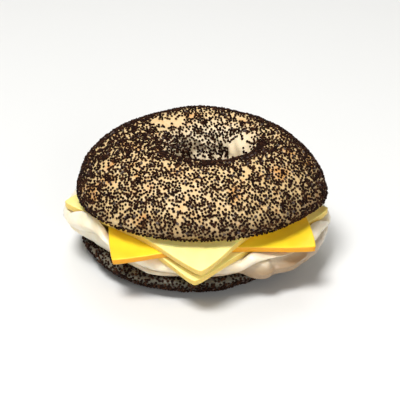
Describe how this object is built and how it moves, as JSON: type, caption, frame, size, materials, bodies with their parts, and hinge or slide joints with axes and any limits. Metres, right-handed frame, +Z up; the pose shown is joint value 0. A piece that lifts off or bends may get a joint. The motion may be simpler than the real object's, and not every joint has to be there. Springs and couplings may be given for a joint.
{
  "type": "filled bagel",
  "caption": "Poppy seed bagel with a closed dimple, cut and filled with folded egg and slices of pale and yellow cheese whose corners hang over the edge.",
  "frame": {"origin": "on the surface that the bagel stands on, under the middle of the whole", "axes": "+Z up through the bagel, -Y towards the front, where the cheese corners point, +X to the right seen from the front"},
  "size_m": [0.1199, 0.1192, 0.0573],
  "materials": {
    "seeded_crust_top": "baked straw-gold crust thick with near-black poppy seeds, satin",
    "pale_cheese_upper": "smooth pale yellow sliced cheese, soft satin",
    "yellow_cheese": "smooth deep yellow sliced cheese, soft satin",
    "pale_cheese_lower": "smooth pale yellow sliced cheese, soft satin",
    "cooked_egg": "off-white cooked egg, moist, soft highlights",
    "seeded_crust_bottom": "darker baked crust thick with near-black poppy seeds, satin"
  },
  "bodies": {
    "root": {"bagel_top": "seeded_crust_top", "cheese_pale_upper": "pale_cheese_upper", "cheese_yellow": "yellow_cheese", "cheese_pale_lower": "pale_cheese_lower", "egg": "cooked_egg", "bagel_bottom": "seeded_crust_bottom"}
  },
  "joints": []
}
